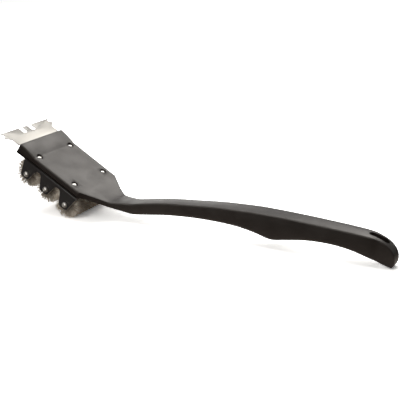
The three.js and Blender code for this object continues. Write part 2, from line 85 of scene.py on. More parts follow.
def handle_matrix():
    """The side view's frame, which the handle is drawn in, in the part's frame."""
    tilt = math.atan2(HEAD[0][2], HEAD[2][2]) - HEAD_PITCH
    turn = Matrix.Rotation(tilt, 4, "Y")
    origin = Vector((HEAD_ORIGIN[0] * MM, 0.0, HEAD_ORIGIN[1] * MM))
    return Matrix.Translation(HEAD.translation - turn @ origin) @ turn


SIDE = handle_matrix()

# ---------------- sizes, in millimetres

HEAD_FRONT, HEAD_REAR = -22.1, 60.2
FRONT_HALF, REAR_HALF = 34.2, 32.8
RAMP_START, RAMP_RISE, RAMP_CROWN, FRONT_LEAN = -0.8, 3.4, 0.6, 1.3
ROOF_BREAKS = (RAMP_START, -6, -12)  # where the cavity's roof bends to follow the ramp
SKIRT_DEPTH, SKIRT_WALL, PLATE = 6.0, 2.4, 3.0
NECK_HALF, NECK_LENGTH, GRIP_LENGTH = 10.5, 47.75, 273.1
SLOT_LENGTH, SLOT_WIDTH, SLOT_BACK, SLOT_CUT = 19.0, 7.4, 16.5, (-20.0, 60.0)
GAP = 0.3
SOFT_CORNER = 0.6  # rounding of the lower edges of the head's skirt
BLADE_THICK, BLADE_TONGUE_HALF = 0.8, 29.6
CHANNEL_HALF, STEEL = 31.0, 1.5
ROLL_FIRST, ROLL_PITCH, ROLL_DROP, ROLL_RADIUS = -4.0, (HEAD_REAR - HEAD_FRONT) / 3, 24.5, 15.5
WEB_FOOT = -10.1
STEM_RADIUS, STEM_TWIST, STEM_LAY, STEM_HALF = 0.95, 1.15, 15.6, 32.1
RIVET_X, RIVET_FROM_EDGE = (0.0, 48.7), 7.9
RIVET_HOLE, RIVET_HOLE_FOOT = 2.2, -8.0
RECESS_RADIUS, RECESS_DEPTH, RECESS_LIP, RECESS_FILLET = 3.3, 1.7, 0.35, 0.2
BRISTLE_CORE, BRISTLE_OVER = 2.4, 0.3  # where strands start, and how far some pass the roll's radius
ROLLS = ("front", "middle", "rear")

# The neck: share of its length, share of its fall left, depth, lean in degrees, flare, rounding.
NECK = (
    (0.165, 0.627, 5.7, 29, 0.717, 0.8),
    (0.330, 0.264, 5.7, 24, 0.435, 1.2),
    (0.498, -0.029, 5.9, 15, 0.215, 2.0),
    (0.638, -0.049, 7.9, 9, 0.085, 2.5),
    (0.785, -0.036, 9.8, 4, 0.013, 3.0),
)
# The grip: share of its length, height of its top, depth, half width, rounding of its foot.
GRIP = (
    (0.0000, 20.0, 11.8, 9.7, 3.5),
    (0.0575, 22.8, 13.0, 9.2, 4.0),
    (0.1494, 26.7, 13.4, 9.1, 4.0),
    (0.2593, 29.6, 14.0, 9.3, 4.0),
    (0.3614, 32.0, 16.0, 9.7, 4.0),
    (0.4420, 32.9, 18.2, 10.2, 4.5),
    (0.5075, 33.4, 22.0, 10.4, 5.0),
    (0.5632, 33.2, 25.5, 10.2, 5.0),
    (0.6177, 32.9, 23.4, 9.9, 5.0),
    (0.6913, 32.0, 19.2, 10.0, 5.0),
    (0.7719, 30.8, 17.3, 9.9, 5.0),
    (0.8447, 29.6, 18.2, 9.7, 5.0),
    (0.9114, 27.9, 21.3, 9.3, 5.0),
)
# The tail: top's distance from the tip, its height, foot's distance, its height, half width.
TAIL = (
    (15.2, 25.6, 17.9, 4.4, 8.0),
    (10.0, 23.4, 13.9, 2.8, 7.6),
    (6.1, 20.7, 10.9, 1.6, 7.3),
    (3.0, 17.5, 8.4, 0.8, 7.1),
    (1.0, 14.0, 6.6, 0.3, 6.9),
    (0.0, 10.0, 5.2, 0.1, 6.8),
    (0.0, 6.2, 4.2, 0.1, 6.7),
    (1.0, 3.0, 3.5, 0.3, 6.5),
)
TAIL_ROUND = 5.0
SHADE_HOLD = 0.7  # how far below an edge the side's shading is flat again
RINGS_PER_ROW = 8
CROWN_START, CROWN_RUN = 10.0, 40.0  # behind the head, where the crown of the top rises to its full


def mix(a, b, share):
    return a + (b - a) * share


def head_top(x):
    """Height of the head's top over its flat: zero behind the ramp, and a shallow arc on it."""
    if x >= RAMP_START:
        return 0.0
    share = (RAMP_START - x) / (RAMP_START - HEAD_FRONT)
    return RAMP_RISE * share + RAMP_CROWN * 4 * share * (1 - share)


def head_half(x):
    return mix(FRONT_HALF, REAR_HALF, (x - HEAD_FRONT) / (HEAD_REAR - HEAD_FRONT))


def from_head(x, n):
    c, s = math.cos(HEAD_PITCH), math.sin(HEAD_PITCH)
    return (HEAD_ORIGIN[0] + x * c + n * s, HEAD_ORIGIN[1] - x * s + n * c)


def blade_top(x):
    return head_top(max(x, HEAD_FRONT)) - PLATE - GAP


def rivet_spots():
    return [(x, side * (head_half(x) - RIVET_FROM_EDGE)) for x in RIVET_X for side in (-1, 1)]


# ---------------- node and mesh helpers


def feed(tree, socket, value):
    """Links an input to another node's output, or sets it to a value."""
    if isinstance(value, bpy.types.NodeSocket):
        tree.links.new(value, socket)
    else:
        socket.default_value = value


def add_node(tree, kind, inputs=None, **settings):
    """A node with its settings, and with its inputs fed by name or by number."""
    node = tree.nodes.new(kind)
    for key, value in settings.items():
        setattr(node, key, value)
    for key, value in (inputs or {}).items():
        feed(tree, node.inputs[key], value)
    return node


def maths(tree, operation, first, second=0.0):
    return add_node(tree, "ShaderNodeMath", {0: first, 1: second}, operation=operation).outputs[0]


def noise(tree, vector, scale, detail):
    inputs = {"Vector": vector, "Scale": scale, "Detail": detail}
    return add_node(tree, "ShaderNodeTexNoise", inputs).outputs[0]


def make_object(name, mesh):
    obj = bpy.data.objects.new(name, mesh)
    bpy.context.scene.collection.objects.link(obj)
    return obj


def mesh_from(name, points, faces, matrix):
    """A mesh from points in millimetres, put in place by matrix."""
    mesh = bpy.data.meshes.new(name)
    mesh.from_pydata([matrix @ (Vector(p) * MM) for p in points], [], faces)
    mesh.validate()
    tidy = bmesh.new()
    tidy.from_mesh(mesh)
    bmesh.ops.recalc_face_normals(tidy, faces=tidy.faces)
    tidy.to_mesh(mesh)
    tidy.free()
    return mesh


def evaluated(obj, name):
    """The object's mesh with its modifiers applied, on a new object; the old one is removed."""
    graph = bpy.context.evaluated_depsgraph_get()
    mesh = bpy.data.meshes.new_from_object(obj.evaluated_get(graph))
    old = obj.data
    bpy.data.objects.remove(obj)
    if isinstance(old, bpy.types.Mesh) and not old.users:
        bpy.data.meshes.remove(old)
    mesh.name = name
    return make_object(name, mesh)


def smooth(mesh, degrees=35.0):
    for polygon in mesh.polygons:
        polygon.use_smooth = True
    mesh.set_sharp_from_angle(angle=math.radians(degrees))


def keep(obj, slot, *nodes):
    """Puts a finished piece on the frame: its body and the CAD nodes it stands for. The slot is not
    used.
    """
    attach(obj, "root")
    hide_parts(*nodes)


def give(obj, *materials):
    obj.data.materials.clear()
    for material in materials:
        obj.data.materials.append(material)


def lathe(name, profile, sides, matrix):
    """A closed round body about the local n axis: the profile starts and ends on the axis."""
    points, faces = [], []
    ring = []
    for r, h in profile:
        if r == 0:
            ring.append([len(points)])
            points.append((0.0, 0.0, h))
        else:
            ring.append([len(points) + i for i in range(sides)])
            turns = [2 * math.pi * i / sides for i in range(sides)]
            points += [(r * math.cos(a), r * math.sin(a), h) for a in turns]
    for low, high in zip(ring, ring[1:]):
        for i in range(sides):
            j = (i + 1) % sides
            corner = [low[i % len(low)], low[j % len(low)], high[j % len(high)], high[i % len(high)]]
            faces.append(list(dict.fromkeys(corner)))
    return mesh_from(name, points, faces, matrix)


def prism(name, outline, low, high, matrix, axis="n"):
    """An outline extruded along n, or along y where axis is "y"."""
    count = len(outline)
    if axis == "n":
        points = [(x, y, h) for h in (low, high) for x, y in outline]
    else:
        points = [(x, h, n) for h in (low, high) for x, n in outline]
    faces = [list(range(count)), list(range(count, 2 * count))]
    faces += [[i, (i + 1) % count, count + (i + 1) % count, count + i] for i in range(count)]
    return mesh_from(name, points, faces, matrix)


def cut_with(obj, cutters):
    """Cuts obj with each mesh in turn, and removes the cutters."""
    tools = []
    for mesh in cutters:
        tool = make_object("cutter", mesh)
        modifier = obj.modifiers.new("cut", "BOOLEAN")
        modifier.operation = "DIFFERENCE"
        modifier.solver = "EXACT"
        modifier.object = tool
        tools.append(tool)
    obj = evaluated(obj, obj.name)
    for tool in tools:
        bpy.data.objects.remove(tool)
    return obj


def refined_copy(node, name, width, angle=32.0):
    """A copy of a CAD node's mesh with its triangles joined into faces and its edges rounded."""
    weld, flat = 2e-6, math.radians(0.6)
    mesh = frame["nodes"][node].data.copy()
    mesh.name = name
    body = bmesh.new()
    body.from_mesh(mesh)
    bmesh.ops.remove_doubles(body, verts=body.verts, dist=weld)
    bmesh.ops.dissolve_limit(body, angle_limit=flat, verts=body.verts, edges=body.edges)
    body.to_mesh(mesh)
    body.free()
    for label in [a.name for a in mesh.attributes if "normal" in a.name.lower()]:
        mesh.attributes.remove(mesh.attributes[label])
    obj = make_object(name, mesh)
    bevel = obj.modifiers.new("rounded edges", "BEVEL")
    bevel.width = width * MM
    bevel.segments = 2
    bevel.limit_method = "ANGLE"
    bevel.angle_limit = math.radians(angle)
    bevel.use_clamp_overlap = True
    return evaluated(obj, name)


# ---------------- shared finish groups


def new_group(name, inputs, outputs):
    """A shader node group with a vector and some float inputs, and its two end nodes."""
    tree = bpy.data.node_groups.new(name, "ShaderNodeTree")
    tree.interface.new_socket("Vector", in_out="INPUT", socket_type="NodeSocketVector")
    for label in inputs:
        tree.interface.new_socket(label, in_out="INPUT", socket_type="NodeSocketFloat")
    for label in outputs:
        tree.interface.new_socket(label, in_out="OUTPUT", socket_type="NodeSocketFloat")
    return tree, tree.nodes.new("NodeGroupInput"), tree.nodes.new("NodeGroupOutput")


def mould_grain_group():
    """Fine pebbled grain of a moulding, with slow changes of gloss and a few rub marks."""
    tree, start, end = new_group("Mould grain", ("Grain", "Marks"), ("Height", "Gloss", "Rub"))
    vector, grain, marks = (start.outputs[k] for k in ("Vector", "Grain", "Marks"))
    slant = {"Vector": vector, "Scale": (0.35, 2.2, 1.2), "Rotation": (0.2, 0.5, 0.7)}
    stretch = add_node(tree, "ShaderNodeMapping", slant).outputs[0]
    scratch = noise(tree, stretch, maths(tree, "MULTIPLY", marks, 9.0), 8.0)
    thin = value_between(tree, scratch, 0.0, 1.0, 0.62, 0.74)
    feed(tree, end.inputs["Height"], noise(tree, vector, grain, 3.0))
    feed(tree, end.inputs["Gloss"], noise(tree, vector, marks, 5.0))
    feed(tree, end.inputs["Rub"], thin)
    return tree


def brushed_lines_group():
    """Straight fine lines left by a belt, along one direction of the given vector."""
    tree, start, end = new_group("Brushed lines", ("Lines", "Cloud"), ("Height", "Streak", "Cloud"))
    vector, lines, cloud = (start.outputs[k] for k in ("Vector", "Lines", "Cloud"))
    drawn = {"Vector": vector, "Scale": (0.03, 1.0, 1.0)}
    stretch = add_node(tree, "ShaderNodeMapping", drawn).outputs[0]
    feed(tree, end.inputs["Height"], noise(tree, stretch, lines, 6.0))
    feed(tree, end.inputs["Streak"], noise(tree, stretch, maths(tree, "MULTIPLY", lines, 0.12), 4.0))
    feed(tree, end.inputs["Cloud"], noise(tree, vector, cloud, 4.0))
    return tree


def use_group(tree, name, maker, inputs):
    group = bpy.data.node_groups.get(name) or maker()
    return add_node(tree, "ShaderNodeGroup", inputs, node_tree=group).outputs


# ---------------- materials


def new_material(name):
    """An empty node material with its shader, and the place its patterns are measured from."""
    material = bpy.data.materials.new(name)
    material.use_nodes = True
    tree = material.node_tree
    tree.nodes.clear()
    shader = tree.nodes.new("ShaderNodeBsdfPrincipled")
    output = tree.nodes.new("ShaderNodeOutputMaterial")
    tree.links.new(shader.outputs[0], output.inputs["Surface"])
    place = tree.nodes.new("ShaderNodeTexCoord").outputs["Object"]
    return material, tree, shader, place


def set_looks(tree, shader, **looks):
    """Feeds a shader's inputs; an underscore in a name stands for a space."""
    for key, value in looks.items():
        feed(tree, shader.inputs[key.replace("_", " ")], value)


def colour_between(tree, share, first, second, blend="MIX"):
    """A mix of two colours, each of them a socket or three numbers."""
    ends = [c if isinstance(c, bpy.types.NodeSocket) else (*c, 1.0) for c in (first, second)]
    inputs = {0: share, 6: ends[0], 7: ends[1]}
    return add_node(tree, "ShaderNodeMix", inputs, data_type="RGBA", blend_type=blend).outputs[2]


def value_between(tree, share, low, high, start=0.3, stop=0.7):
    """A value that runs from low to high while the share runs from start to stop."""
    inputs = {"Value": share, "From Min": start, "From Max": stop, "To Min": low, "To Max": high}
    return add_node(tree, "ShaderNodeMapRange", inputs).outputs[0]


def bump(tree, height, distance, strength):
    inputs = {"Height": height, "Distance": distance, "Strength": strength}
    return add_node(tree, "ShaderNodeBump", inputs).outputs[0]


def moulded_plastic(name, dark, light, rough, grain, specular):
    """Satin black moulding: pebbled grain, uneven gloss and faint pale rub marks."""
    material, tree, shader, place = new_material(name)
    inputs = {"Vector": place, "Grain": grain, "Marks": 60.0}
    effect = use_group(tree, "Mould grain", mould_grain_group, inputs)
    body = colour_between(tree, effect["Gloss"], dark, light)
    worn = maths(tree, "MULTIPLY", effect["Rub"], 0.25)
    gloss = value_between(tree, effect["Gloss"], *rough)
    rubbed_gloss = maths(tree, "ADD", gloss, maths(tree, "MULTIPLY", effect["Rub"], 0.08))
    set_looks(
        tree,
        shader,
        Base_Color=colour_between(tree, worn, body, [c * 3.2 for c in light]),
        Roughness=rubbed_gloss,
        Specular_IOR_Level=specular,
        Specular_Tint=(1.0, 0.95, 0.91, 1.0),
        Normal=bump(tree, effect["Height"], 0.00003, 0.6),
    )
    return material


def brushed_metal(name, dark, light, rough, lines, turn=0.0, metallic=1.0):
    """Belt-brushed steel: fine straight lines in its gloss and height, and soft cloudy tone."""
    material, tree, shader, place = new_material(name)
    turned = add_node(tree, "ShaderNodeMapping", {"Vector": place, "Rotation": (0.0, 0.0, turn)})
    inputs = {"Vector": turned.outputs[0], "Lines": lines, "Cloud": 40.0}
    effect = use_group(tree, "Brushed lines", brushed_lines_group, inputs)
    streak = maths(tree, "MULTIPLY", effect["Streak"], 0.6)
    blend = maths(tree, "ADD", streak, maths(tree, "MULTIPLY", effect["Cloud"], 0.4))
    set_looks(
        tree,
        shader,
        Base_Color=colour_between(tree, value_between(tree, blend, 0.0, 1.0), dark, light),
        Metallic=metallic,
        Roughness=value_between(tree, effect["Streak"], *rough),
        Normal=bump(tree, effect["Height"], 0.00002, 0.5),
    )
    return material


def coated_steel(name, colour, rough):
    """Baked black coat on sheet steel: slight orange peel and a few pale nicks."""
    material, tree, shader, place = new_material(name)
    peel = noise(tree, place, 700.0, 2.0)
    worn = value_between(tree, noise(tree, place, 260.0, 9.0), 0.0, 1.0, 0.70, 0.76)
    set_looks(
        tree,
        shader,
        Base_Color=colour_between(tree, worn, colour, (0.34, 0.32, 0.29)),
        Metallic=maths(tree, "MULTIPLY", worn, 0.9),
        Roughness=value_between(tree, peel, *rough),
        Specular_IOR_Level=0.4,
        Normal=bump(tree, peel, 0.00008, 0.5),
    )
    return material


def bristle_wire(name, root, tip):
    """Crimped bristle wire: darker and browner near the stem as painted shade inside the roll, paler
    at the tips as painted light, uneven by strand.
    """
    material, tree, shader, place = new_material(name)
    along = add_node(tree, "ShaderNodeAttribute", attribute_name="reach").outputs["Fac"]
    strand = add_node(tree, "ShaderNodeAttribute", attribute_name="strand").outputs["Fac"]
    spots = value_between(tree, noise(tree, place, 150.0, 4.0), 0.65, 1.1)
    share = maths(tree, "MULTIPLY", maths(tree, "POWER", along, 1.2), spots)
    bright = maths(tree, "POWER", strand, 1.5)
    tint = colour_between(tree, bright, (0.62, 0.54, 0.46), (1.0, 0.99, 0.97))
    # Darker towards the stem and paler at the tips: painted shade inside the roll and painted light on
    # its outer tips.
    painted_shade_and_light = colour_between(tree, share, root, tip)
    set_looks(
        tree,
        shader,
        Base_Color=colour_between(tree, 1.0, painted_shade_and_light, tint, "MULTIPLY"),
        Metallic=0.1,
        Roughness=value_between(tree, strand, 0.3, 0.55, 0.0, 1.0),
    )
    return material


def floor_material(colour, lift, bounce):
    """Pale studio floor: the viewer sees it lifted to white, and it bounces back less light."""
    material, tree, shader, place = new_material("studio_floor")
    mottle = noise(tree, place, 3.0, 2.0)
    paint = colour_between(tree, mottle, [c * 0.985 for c in colour], colour)
    set_looks(tree, shader, Base_Color=paint, Roughness=0.9, Specular_IOR_Level=0.1)
    glow = add_node(tree, "ShaderNodeEmission", {"Strength": lift})
    seen = shader.outputs[0]
    for extra in (shader, glow):
        seen = add_node(tree, "ShaderNodeAddShader", {0: seen, 1: extra.outputs[0]}).outputs[0]
    across = add_node(tree, "ShaderNodeSeparateXYZ", {"Vector": place}).outputs["Y"]
    # Other rays meet a pale strip under the brush and a dark floor to each side of it.
    near = value_between(tree, maths(tree, "ABSOLUTE", across), 0.0, 1.0, 0.055, 0.01)
    warm_white = (bounce, bounce * 0.90, bounce * 0.82)
    level = colour_between(tree, near, (0.02, 0.018, 0.016), warm_white)
    dim = add_node(tree, "ShaderNodeBsdfDiffuse", {"Color": level}).outputs[0]
    viewer = tree.nodes.new("ShaderNodeLightPath").outputs["Is Camera Ray"]
    choose = add_node(tree, "ShaderNodeMixShader", {0: viewer, 1: dim, 2: seen})
    output = next(n for n in tree.nodes if n.type == "OUTPUT_MATERIAL")
    tree.links.new(choose.outputs[0], output.inputs["Surface"])
    return material


# ---------------- handle


def spline_at(rows, t):
    """A point at share t of the smooth curve through the rows, evenly by row."""
    last = len(rows) - 1
    place = last * t
    i = min(int(math.floor(place)), last)
    w = place - i
    p0 = rows[max(i - 1, 0)] if i else rows[0]
    p1 = rows[i]
    p2 = rows[min(i + 1, last)]
    p3 = rows[min(i + 2, last)]
    v0, v1 = (p2 - p0) * 0.5, (p3 - p1) * 0.5
    return (2 * p1 - 2 * p2 + v0 + v1) * w**3 + (-3 * p1 + 3 * p2 - 2 * v0 - v1) * w**2 + v0 * w + p1


def section_ring(top_x, top_z, foot_x, foot_z, half, rounding, edge, crown=0.0):
    """One cross-section between a top point and a foot point: a box with rounded corners."""
    edge_steps, foot_steps = 5, 8
    top, foot = np.array((top_x, top_z)), np.array((foot_x, foot_z))
    height = float(np.linalg.norm(top - foot))
    up = (top - foot) / height
    top_round = min(edge, height * 0.3)
    foot_round = min(rounding, height * 0.45, half * 0.8)
    ring = []

    def corner(cy, ch, radius, start, steps):
        for i in range(steps + 1):
            a = start + i / steps * math.pi / 2
            ring.append((cy + radius * math.cos(a), ch + radius * math.sin(a)))

    shoulder = height - top_round
    ring.append((half, shoulder - SHADE_HOLD))
    corner(half - top_round, shoulder, top_round, 0.0, edge_steps)
    for step in range(4, -5, -1):
        share = step / 5
        ring.append(((half - top_round) * share, height + crown * (1 - share * share)))
    corner(-half + top_round, shoulder, top_round, math.pi / 2, edge_steps)
    ring.append((-half, shoulder - SHADE_HOLD))
    corner(-half + foot_round, foot_round, foot_round, math.pi, foot_steps)
    corner(half - foot_round, foot_round, foot_round, 1.5 * math.pi, foot_steps)
    return [(foot[0] + up[0] * h, y, foot[1] + up[1] * h) for y, h in ring]


def drawn_in(ring, amount, shift):
    """A copy of a ring pulled in towards its middle by an amount, and moved by shift."""
    points = np.array(ring)
    middle = (points.min(0) + points.max(0)) / 2
    size = (points.max(0) - points.min(0)) / 2
    scale = np.maximum(1.0 - amount / np.maximum(size, 1e-6), 0.0)
    return [tuple(p) for p in middle + (points - middle) * scale + np.array(shift)]


def handle_rings(edge, crown):
    """All cross-sections of the handle, from the front face of its head to the tip of its tail."""

    def head_row(x):
        top, foot = from_head(x, head_top(x)), from_head(x, -SKIRT_DEPTH)
        return np.array((*top, *foot, head_half(x), SOFT_CORNER))

    def body_row(x, top, depth, lean, half, rounding):
        angle = math.radians(lean)
        foot = (x - depth * math.sin(angle), top - depth * math.cos(angle))
        return np.array((x, top, *foot, half, rounding))

    front_top = from_head(HEAD_FRONT, RAMP_RISE)
    front_foot = from_head(HEAD_FRONT - FRONT_LEAN, -SKIRT_DEPTH)
    first = section_ring(*front_top, *front_foot, FRONT_HALF, SOFT_CORNER, edge)
    outward = np.array((-math.cos(HEAD_PITCH), 0.0, math.sin(HEAD_PITCH)))
    rings = [drawn_in(first, by, outward * -back) for by, back in ((0.7, 0.0), (0.2, 0.2), (0.0, 0.7))]
    shares = [0.93, 0.85, 0.76, 0.66, 0.56, 0.46, 0.37, 0.28, 0.2, 0.13, 0.07, 0.03, 0.0]
    stations = [mix(RAMP_START, HEAD_FRONT, share) for share in shares] + [1.0, 4.0, 20.0, 40.0, 56.0]
    rings += [section_ring(*head_row(x), edge) for x in stations]
    rear = head_row(HEAD_REAR)
    head_end = from_head(HEAD_REAR, 0.0)
    neck_end = head_end[0] + NECK_LENGTH
    rows = [rear]
    for past, fall, depth, lean, flare, rounding in NECK:
        x = head_end[0] + past * NECK_LENGTH
        top = mix(GRIP[0][1], head_end[1], fall)
        rows.append(body_row(x, top, depth, lean, mix(NECK_HALF, REAR_HALF, flare), rounding))
    for at, top, depth, half, rounding in GRIP:
        rows.append(body_row(neck_end + at * GRIP_LENGTH, top, depth, 0.0, half, rounding))
    tail_x = neck_end + GRIP_LENGTH
    for back, top, foot_back, foot, half in TAIL:
        rows.append(np.array((tail_x - back, top, tail_x - foot_back, foot, half, TAIL_ROUND)))
    steps = (len(rows) - 1) * RINGS_PER_ROW
    for i in range(steps + 1):
        row = spline_at(rows, i / steps)
        share = min(max((row[0] - head_end[0] - CROWN_START) / CROWN_RUN, 0.0), 1.0)
        rings.append(section_ring(*row, edge, crown * share))
    return rings, tail_x


def slot_outline(middle, length, width, steps=14):
    reach = length / 2 - width / 2
    outline = []
    for side in (1, -1):
        for i in range(steps + 1):
            a = math.radians(mix(-90, 90, i / steps)) + (0 if side > 0 else math.pi)
            outline.append((middle + side * reach + width / 2 * math.cos(a), width / 2 * math.sin(a)))
    return outline


def build_handle(settings):
    """The handle's moulding: its rings joined up, less its recesses, cavity, slit and hang slot."""
    rings, tail_x = handle_rings(settings.edge_round * PER_METRE, settings.crown * PER_METRE)
    count = len(rings[0])
    points = [p for ring in rings for p in ring]
    faces = [list(range(count)), [len(points) - count + i for i in range(count)]]
    for s in range(len(rings) - 1):
        for i in range(count):
            a, b = s * count + i, s * count + (i + 1) % count
            faces.append([a, b, b + count, a + count])
    obj = make_object("handle_moulding", mesh_from("handle_moulding", points, faces, SIDE))

    lip, past = RECESS_LIP, 2.0
    recess = [
        (0, RIVET_HOLE_FOOT),
        (RIVET_HOLE, RIVET_HOLE_FOOT),
        (RIVET_HOLE, -RECESS_DEPTH),
        (RECESS_RADIUS - RECESS_FILLET, -RECESS_DEPTH),
        (RECESS_RADIUS, -RECESS_DEPTH + RECESS_FILLET),
        (RECESS_RADIUS, -lip),
        (RECESS_RADIUS + lip * 0.3, -lip * 0.3),
        (RECESS_RADIUS + lip, 0.02),
        (RECESS_RADIUS + lip, 2 * past),
        (0, 2 * past),
    ]
    cutters = []
    for x, y in rivet_spots():
        spot = HEAD @ Matrix.Translation(Vector((x, y, 0)) * MM)
        cutters.append(lathe("recess", recess, 40, spot))
    front, rear = HEAD_FRONT + SKIRT_WALL, HEAD_REAR - SKIRT_WALL
    roof = [(x, head_top(x) - PLATE) for x in (rear, *ROOF_BREAKS, front)]
    space = roof + [(front - FRONT_LEAN, -SKIRT_DEPTH - past), (rear, -SKIRT_DEPTH - past)]
    inside = REAR_HALF - SKIRT_WALL
    cutters.append(prism("cavity", space, -inside, inside, HEAD, "y"))
    inner, outer = front + 1.0, HEAD_FRONT - 1.5 * past
    slit = [
        (outer, blade_top(outer) - BLADE_THICK - GAP),
        (inner, blade_top(inner) - BLADE_THICK - GAP),
        (inner, head_top(inner) - PLATE),
        (outer, blade_top(outer) + GAP),
    ]
    tongue = BLADE_TONGUE_HALF + GAP
    cutters.append(prism("slit", slit, -tongue, tongue, HEAD, "y"))
    slot = slot_outline(tail_x - SLOT_BACK, SLOT_LENGTH, SLOT_WIDTH)
    cutters.append(prism("hang_slot", slot, *SLOT_CUT, SIDE))
    obj = cut_with(obj, cutters)
    smooth(obj.data, 32)
    return obj


# ---------------- repeated pieces


def new_geometry_tree(name, inputs):
    """A geometry tree with named inputs; gives the tree, its inputs as sockets and its end node."""
    tree = bpy.data.node_groups.new(name, "GeometryNodeTree")
    for label, kind in (("Geometry", "Geometry"), *inputs):
        tree.interface.new_socket(label, in_out="INPUT", socket_type="NodeSocket" + kind)
    tree.interface.new_socket("Geometry", in_out="OUTPUT", socket_type="NodeSocketGeometry")
    return tree, tree.nodes.new("NodeGroupInput").outputs, tree.nodes.new("NodeGroupOutput")


def close_tree(tree, instances, material, end):
    """Ends a geometry tree: its instances made real, with their material."""
    real = add_node(tree, "GeometryNodeRealizeInstances", {"Geometry": instances}).outputs[0]
    painted = {"Geometry": real, "Material": material}
    feed(tree, end.inputs["Geometry"], add_node(tree, "GeometryNodeSetMaterial", painted).outputs[0])
    return tree


def run_tree(name, mesh, tree, values):
    """Runs a geometry tree over a mesh and gives the finished piece."""
    obj = make_object(name + "_seed", mesh)
    modifier = obj.modifiers.new("build", "NODES")
    modifier.node_group = tree
    for item in tree.interface.items_tree:
        if item.item_type == "SOCKET" and item.in_out == "INPUT" and item.name in values:
            modifier[item.identifier] = values[item.name]
    return evaluated(obj, name)


def random_between(tree, low, high, seed):
    inputs = {2: low, 3: high, 8: seed}
    return add_node(tree, "FunctionNodeRandomValue", inputs, data_type="FLOAT").outputs[1]


def vector_of(tree, x, y, z):
    return add_node(tree, "ShaderNodeCombineXYZ", {"X": x, "Y": y, "Z": z}).outputs[0]


def stored(tree, geometry, name, domain, value):
    """The geometry with a value kept on it by name."""
    inputs = {"Geometry": geometry, "Name": name, "Value": value}
    kind = "GeometryNodeStoreNamedAttribute"
    return add_node(tree, kind, inputs, data_type="FLOAT", domain=domain).outputs[0]


def round_wire(tree, curve, radius, sides, caps):
    """A curve given a round section."""
    ring = {"Resolution": sides, "Radius": radius}
    section = add_node(tree, "GeometryNodeCurvePrimitiveCircle", ring).outputs[0]
    inputs = {"Curve": curve, "Profile Curve": section, "Fill Caps": caps}
    return add_node(tree, "GeometryNodeCurveToMesh", inputs).outputs[0]


def bristle_tree():
    """Crimped wires that stand out all round the y axis from a thin core."""
    inputs = (
        ("Count", "Int"),
        ("Half Length", "Float"),
        ("Core Radius", "Float"),
        ("Tip Radius", "Float"),
        ("Wire Radius", "Float"),
        ("Crimp", "Float"),
        ("Lean", "Float"),
        ("Ceiling", "Float"),
        ("Seed", "Int"),
        ("Material", "Material"),
    )
    tree, get, end = new_geometry_tree("Bristle roll", inputs)
    joints, wave_turn, sway_far = 5, 2.2, 0.0011
    least_rise, end_play = 0.05, 0.0006
    half, core, lean = get["Half Length"], get["Core Radius"], get["Lean"]

    def seeded(offset):
        return maths(tree, "ADD", get["Seed"], float(offset))

    def times(first, second):
        return maths(tree, "MULTIPLY", first, second)

    def minus(first, second):
        return maths(tree, "SUBTRACT", first, second)

    # One strand of unit length along z, crimped in x and a little bent in y.
    line = add_node(tree, "GeometryNodeCurvePrimitiveLine", {"End": (0.0, 0.0, 1.0)}).outputs[0]
    strand = add_node(tree, "GeometryNodeResampleCurve", {"Curve": line, "Count": joints})
    index = tree.nodes.new("GeometryNodeInputIndex").outputs[0]
    along = maths(tree, "DIVIDE", index, joints - 1.0)
    wave = maths(tree, "SINE", times(index, wave_turn))
    offset = vector_of(tree, times(wave, get["Crimp"]), times(times(along, along), sway_far), 0.0)
    shifted = {"Geometry": strand.outputs[0], "Offset": offset}
    moved = add_node(tree, "GeometryNodeSetPosition", shifted).outputs[0]
    marked = stored(tree, moved, "reach", "POINT", along)
    tube = round_wire(tree, marked, get["Wire Radius"], 3, False)

    # Where each strand starts.
    angle = random_between(tree, 0.0, 2 * math.pi, get["Seed"])
    y = random_between(tree, times(half, -1.0), half, seeded(1))
    c, s = maths(tree, "COSINE", angle), maths(tree, "SINE", angle)
    root = vector_of(tree, times(c, core), y, times(s, core))
    points = add_node(tree, "GeometryNodePoints", {"Count": get["Count"], "Position": root})

    # How long it is: up to the roll's surface, or up to the web above it.
    full = minus(times(get["Tip Radius"], random_between(tree, 0.9, 1.03, seeded(3))), core)
    room = minus(maths(tree, "DIVIDE", get["Ceiling"], maths(tree, "MAXIMUM", s, least_rise)), core)
    reach = maths(tree, "MINIMUM", full, room)

    # The way it points, kept between the flanges.
    less = times(lean, -1.0)
    side = random_between(tree, less, lean, seeded(2))
    drift = random_between(tree, less, lean, seeded(4))
    edge = maths(tree, "ADD", half, end_play)
    upper = maths(tree, "DIVIDE", minus(edge, y), reach)
    lower = maths(tree, "DIVIDE", minus(times(edge, -1.0), y), reach)
    drift = maths(tree, "MAXIMUM", maths(tree, "MINIMUM", drift, upper), lower)
    aim = vector_of(tree, minus(c, times(s, side)), drift, maths(tree, "ADD", s, times(c, side)))
    turn = add_node(tree, "FunctionNodeAlignRotationToVector", {"Vector": aim}, axis="Z").outputs[0]
    spun = {"Axis": (0.0, 0.0, 1.0), "Angle": random_between(tree, 0.0, 2 * math.pi, seeded(5))}
    spin = add_node(tree, "FunctionNodeAxisAngleToRotation", spun).outputs[0]
    turns = {"Rotation": turn, "Rotate By": spin}
    both = add_node(tree, "FunctionNodeRotateRotation", turns, rotation_space="LOCAL").outputs[0]
    placed = {
        "Points": points.outputs[0],
        "Instance": tube,
        "Rotation": both,
        "Scale": vector_of(tree, 1.0, 1.0, reach),
    }
    spread = add_node(tree, "GeometryNodeInstanceOnPoints", placed).outputs[0]
    toned = stored(tree, spread, "strand", "INSTANCE", random_between(tree, 0.0, 1.0, seeded(6)))
    return close_tree(tree, toned, get["Material"], end)


